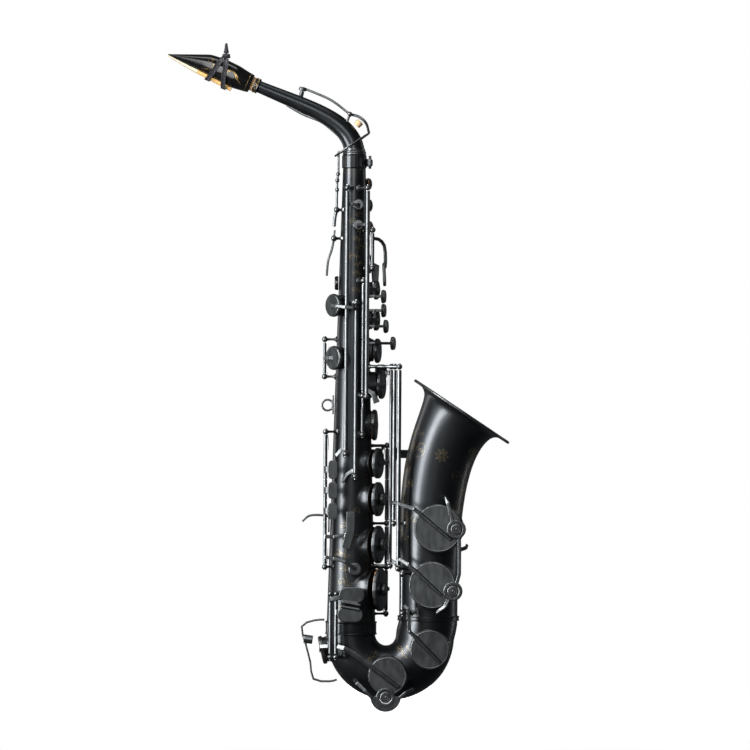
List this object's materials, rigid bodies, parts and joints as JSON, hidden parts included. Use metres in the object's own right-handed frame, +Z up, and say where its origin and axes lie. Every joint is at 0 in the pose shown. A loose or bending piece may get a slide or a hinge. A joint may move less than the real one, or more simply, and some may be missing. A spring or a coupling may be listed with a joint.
{
  "type": "alto saxophone",
  "caption": "Curved conical woodwind with a flared bell, a swivelling neck, a single-reed mouthpiece, hinged tone-hole keys on rods, key guards, thumb hook and strap ring.",
  "frame": {"origin": "centre of the strap ring, where the player's strap hook holds the instrument", "axes": "+Z up the body tube towards the neck, +X from the body tube towards the bell, -Y towards the side of the player's right hand"},
  "size_m": [0.3691, 0.122, 0.7115],
  "materials": {
    "lacquer": "satin black lacquer with a fine gold engraved scroll",
    "key": "satin black nickel",
    "ebonite": "polished black ebonite",
    "cane": "pale split cane",
    "cork": "natural cork",
    "felt": "black felt",
    "strap": "woven black strap"
  },
  "bodies": {
    "horn": {"bell": "lacquer", "bell_brace": "key", "bell_key_guard": "key", "body_bow_ferrule": "lacquer", "body_tube": "lacquer", "bow": "lacquer", "bow_bell_ferrule": "lacquer", "low_b_felt": "felt", "low_b_flat_felt": "felt", "low_c_felt": "felt", "low_c_guard": "key", "low_e_flat_guard": "key", "neck_receiver": "lacquer", "strap_ring": "key", "thumb_hook": "key", "thumb_rest": "ebonite"},
    "f_sharp_key": {"f_sharp_key": "key"},
    "f_key": {"f_key": "key"},
    "e_key": {"e_key": "key"},
    "d_key": {"d_key": "key"},
    "b_key": {"b_key": "key"},
    "bis_key": {"bis_key": "key"},
    "a_key": {"a_key": "key"},
    "g_key": {"g_key": "key"},
    "g_sharp_key": {"g_sharp_key": "key"},
    "low_b_flat_key": {"low_b_flat_key": "key"},
    "low_b_key": {"low_b_key": "key"},
    "low_c_key": {"low_c_key": "key"},
    "low_c_sharp_key": {"low_c_sharp_key": "key"},
    "high_e_key": {"high_e_key": "key"},
    "high_f_sharp_key": {"high_f_sharp_key": "key"},
    "side_c_key": {"side_c_key": "key"},
    "side_b_flat_key": {"side_b_flat_key": "key"},
    "alt_f_sharp_key": {"alt_f_sharp_key": "key"},
    "low_e_flat_key": {"low_e_flat_key": "key"},
    "palm_f_key": {"palm_f_key": "key"},
    "palm_e_flat_key": {"palm_e_flat_key": "key"},
    "palm_d_key": {"palm_d_key": "key"},
    "front_f_key": {"front_f_key": "key"},
    "high_e_touch": {"high_e_touch": "key"},
    "side_c_touch": {"side_c_touch": "key"},
    "side_b_flat_touch": {"side_b_flat_touch": "key"},
    "c_sharp_lever": {"c_sharp_lever": "key"},
    "neck": {"neck": "lacquer", "neck_cork": "cork"},
    "neck_screw": {"neck_screw": "key"},
    "mouthpiece": {"mouthpiece": "ebonite", "reed": "cane", "ligature": "strap"},
    "ligature_screw": {"ligature_screw": "strap"},
    "octave_thumb_key": {"octave_thumb_key": "key"},
    "octave_mechanism": {"octave_mechanism": "key"},
    "neck_octave_key": {"neck_octave_key": "key"}
  },
  "joints": [
    {"name": "f_sharp_key_hinge", "type": "hinge", "parent": "horn", "child": "f_sharp_key", "pos_m": [0.064, 0.016, -0.0616], "axis": [0, 0, -1], "range_deg": [0, 5.15], "stiffness_Nm_per_rad": 0.06, "springref_deg": -14.32},
    {"name": "f_key_hinge", "type": "hinge", "parent": "horn", "child": "f_key", "pos_m": [0.064, 0.016, -0.1], "axis": [0, 0, -1], "range_deg": [0, 5.15], "stiffness_Nm_per_rad": 0.06, "springref_deg": -14.32},
    {"name": "e_key_hinge", "type": "hinge", "parent": "horn", "child": "e_key", "pos_m": [0.064, 0.016, -0.1485], "axis": [0, 0, -1], "range_deg": [0, 5.55], "stiffness_Nm_per_rad": 0.06, "springref_deg": -14.32},
    {"name": "d_key_hinge", "type": "hinge", "parent": "horn", "child": "d_key", "pos_m": [0.064, 0.016, -0.1965], "axis": [0, 0, -1], "range_deg": [0, 5.95], "stiffness_Nm_per_rad": 0.06, "springref_deg": -14.32},
    {"name": "b_key_hinge", "type": "hinge", "parent": "horn", "child": "b_key", "pos_m": [0.0375, -0.026, 0.1235], "axis": [0, 0, 1], "range_deg": [0, 5.07], "stiffness_Nm_per_rad": 0.06, "springref_deg": -14.32},
    {"name": "bis_key_hinge", "type": "hinge", "parent": "horn", "child": "bis_key", "pos_m": [0.0375, -0.026, 0.0915], "axis": [0, 0, 1], "range_deg": [0, 5.07], "stiffness_Nm_per_rad": 0.06, "springref_deg": -14.32},
    {"name": "a_key_hinge", "type": "hinge", "parent": "horn", "child": "a_key", "pos_m": [0.0375, -0.026, 0.0585], "axis": [0, 0, 1], "range_deg": [0, 5.53], "stiffness_Nm_per_rad": 0.06, "springref_deg": -14.32},
    {"name": "g_key_hinge", "type": "hinge", "parent": "horn", "child": "g_key", "pos_m": [0.0375, -0.026, 0.0224], "axis": [0, 0, 1], "range_deg": [0, 5.99], "stiffness_Nm_per_rad": 0.06, "springref_deg": -14.32},
    {"name": "g_sharp_key_hinge", "type": "hinge", "parent": "horn", "child": "g_sharp_key", "pos_m": [0.0375, -0.026, -0.0209], "axis": [0, 0, -1], "range_deg": [0, 7.41], "stiffness_Nm_per_rad": 0.06, "springref_deg": -14.32},
    {"name": "low_b_flat_key_hinge", "type": "hinge", "parent": "horn", "child": "low_b_flat_key", "pos_m": [0.0715, -0.024, -0.13], "axis": [0, 0, 1], "range_deg": [0, 3.76], "stiffness_Nm_per_rad": 0.06, "springref_deg": -14.32},
    {"name": "low_b_key_hinge", "type": "hinge", "parent": "horn", "child": "low_b_key", "pos_m": [0.0765, -0.031, -0.1904], "axis": [0, 0, 1], "range_deg": [0, 4.9], "stiffness_Nm_per_rad": 0.06, "springref_deg": -14.32},
    {"name": "low_c_key_hinge", "type": "hinge", "parent": "horn", "child": "low_c_key", "pos_m": [0.0109, -0.0345, -0.256], "axis": [0, 0, 1], "range_deg": [0, 3.09], "stiffness_Nm_per_rad": 0.06, "springref_deg": -14.32},
    {"name": "low_c_sharp_key_hinge", "type": "hinge", "parent": "horn", "child": "low_c_sharp_key", "pos_m": [0.0815, -0.0375, -0.259], "axis": [0, 0, -1], "range_deg": [0, 6.8], "stiffness_Nm_per_rad": 0.06, "springref_deg": -14.32},
    {"name": "high_e_key_hinge", "type": "hinge", "parent": "horn", "child": "high_e_key", "pos_m": [0.0198, -0.0275, 0.2143], "axis": [0, 0, -1], "range_deg": [0, 10.68], "stiffness_Nm_per_rad": 0.06, "springref_deg": -14.32},
    {"name": "high_f_sharp_key_hinge", "type": "hinge", "parent": "horn", "child": "high_f_sharp_key", "pos_m": [0.0416, -0.0335, 0.1925], "axis": [0, 0, 1], "range_deg": [0, 12.61], "stiffness_Nm_per_rad": 0.06, "springref_deg": -14.32},
    {"name": "side_c_key_hinge", "type": "hinge", "parent": "horn", "child": "side_c_key", "pos_m": [0.0302, -0.029, 0.1034], "axis": [0, 0, 1], "range_deg": [0, 6.5], "stiffness_Nm_per_rad": 0.06, "springref_deg": -14.32},
    {"name": "side_b_flat_key_hinge", "type": "hinge", "parent": "horn", "child": "side_b_flat_key", "pos_m": [-0.0034, -0.002, 0.0505], "axis": [0, 0, -1], "range_deg": [0, 9.19], "stiffness_Nm_per_rad": 0.06, "springref_deg": -14.32},
    {"name": "alt_f_sharp_key_hinge", "type": "hinge", "parent": "horn", "child": "alt_f_sharp_key", "pos_m": [-0.0017, -0.02, -0.162], "axis": [0, 0, -1], "range_deg": [0, 3.89], "stiffness_Nm_per_rad": 0.06, "springref_deg": -14.32},
    {"name": "low_e_flat_key_hinge", "type": "hinge", "parent": "horn", "child": "low_e_flat_key", "pos_m": [0.005, -0.0325, -0.254], "axis": [0, 0, 1], "range_deg": [0, 5.79], "stiffness_Nm_per_rad": 0.06, "springref_deg": -14.32},
    {"name": "palm_f_key_hinge", "type": "hinge", "parent": "horn", "child": "palm_f_key", "pos_m": [0.01886, 0.01964, 0.237], "axis": [0, 0, 1], "range_deg": [0, 6.56], "stiffness_Nm_per_rad": 0.06, "springref_deg": -14.32},
    {"name": "palm_e_flat_key_hinge", "type": "hinge", "parent": "horn", "child": "palm_e_flat_key", "pos_m": [0.02718, 0.02208, 0.214], "axis": [0, 0, 1], "range_deg": [0, 7.27], "stiffness_Nm_per_rad": 0.06, "springref_deg": -14.32},
    {"name": "palm_d_key_hinge", "type": "hinge", "parent": "horn", "child": "palm_d_key", "pos_m": [0.03601, 0.02069, 0.19], "axis": [0, 0, 1], "range_deg": [0, 10.33], "stiffness_Nm_per_rad": 0.06, "springref_deg": -14.32},
    {"name": "front_f_key_hinge", "type": "hinge", "parent": "horn", "child": "front_f_key", "pos_m": [0.047, -0.014, 0.178], "axis": [0, 0, 1], "range_deg": [0, 11.46], "stiffness_Nm_per_rad": 0.06, "springref_deg": -14.32},
    {"name": "high_e_touch_hinge", "type": "hinge", "parent": "horn", "child": "high_e_touch", "pos_m": [-0.0017, -0.02, -0.0685], "axis": [0, 0, 1], "range_deg": [0, 14.15], "stiffness_Nm_per_rad": 0.06, "springref_deg": -14.32},
    {"name": "side_c_touch_hinge", "type": "hinge", "parent": "horn", "child": "side_c_touch", "pos_m": [-0.0017, -0.02, -0.0906], "axis": [0, 0, 1], "range_deg": [0, 14.15], "stiffness_Nm_per_rad": 0.06, "springref_deg": -14.32},
    {"name": "side_b_flat_touch_hinge", "type": "hinge", "parent": "horn", "child": "side_b_flat_touch", "pos_m": [-0.0017, -0.02, -0.1127], "axis": [0, 0, 1], "range_deg": [0, 14.15], "stiffness_Nm_per_rad": 0.06, "springref_deg": -14.32},
    {"name": "c_sharp_lever_hinge", "type": "hinge", "parent": "horn", "child": "c_sharp_lever", "pos_m": [0.068, -0.0145, 0.038], "axis": [0, 0, 1], "range_deg": [0, 4.58], "stiffness_Nm_per_rad": 0.06, "springref_deg": -14.32},
    {"name": "neck_swivel", "type": "hinge", "parent": "horn", "child": "neck", "pos_m": [0.0268, 0, 0.2679], "axis": [0, 0, 1], "range_deg": [-15, 15]},
    {"name": "neck_screw_turn", "type": "hinge", "parent": "horn", "child": "neck_screw", "pos_m": [0.0435, 0, 0.2596], "axis": [0, -1, 0], "range_deg": [0, 180]},
    {"name": "mouthpiece_slide", "type": "slide", "parent": "neck", "child": "mouthpiece", "axis": [-0.9205, 0, 0.3907], "range_m": [-0.003, 0.008]},
    {"name": "ligature_screw_turn", "type": "hinge", "parent": "mouthpiece", "child": "ligature_screw", "pos_m": [-0.11114, 0, 0.37537], "axis": [0, 0, 1], "continuous": true},
    {"name": "octave_thumb_key_hinge", "type": "hinge", "parent": "horn", "child": "octave_thumb_key", "pos_m": [0.0056, 0, 0.1784], "axis": [0, -1, 0], "range_deg": [0, 6], "stiffness_Nm_per_rad": 0.06, "springref_deg": -14.32},
    {"name": "octave_mechanism_hinge", "type": "hinge", "parent": "horn", "child": "octave_mechanism", "pos_m": [0.0083, 0, 0.209], "axis": [0, -1, 0], "range_deg": [0, 1], "stiffness_Nm_per_rad": 0.06, "springref_deg": -14.32},
    {"name": "neck_octave_key_hinge", "type": "hinge", "parent": "neck", "child": "neck_octave_key", "pos_m": [0.0216, 0, 0.3114], "axis": [0, 1, 0], "range_deg": [0, 1.8], "stiffness_Nm_per_rad": 0.06, "springref_deg": -14.32}
  ],
  "couplings": [
    {"joint": "high_e_key_hinge", "follows": "high_e_touch_hinge", "ratio": 0.75431},
    {"joint": "side_c_key_hinge", "follows": "side_c_touch_hinge", "ratio": 0.45907},
    {"joint": "side_b_flat_key_hinge", "follows": "side_b_flat_touch_hinge", "ratio": 0.64917},
    {"joint": "low_c_sharp_key_hinge", "follows": "c_sharp_lever_hinge", "ratio": 1.4836},
    {"joint": "octave_mechanism_hinge", "follows": "octave_thumb_key_hinge", "ratio": 0.1665},
    {"joint": "neck_octave_key_hinge", "follows": "octave_thumb_key_hinge", "ratio": 0.2997}
  ]
}
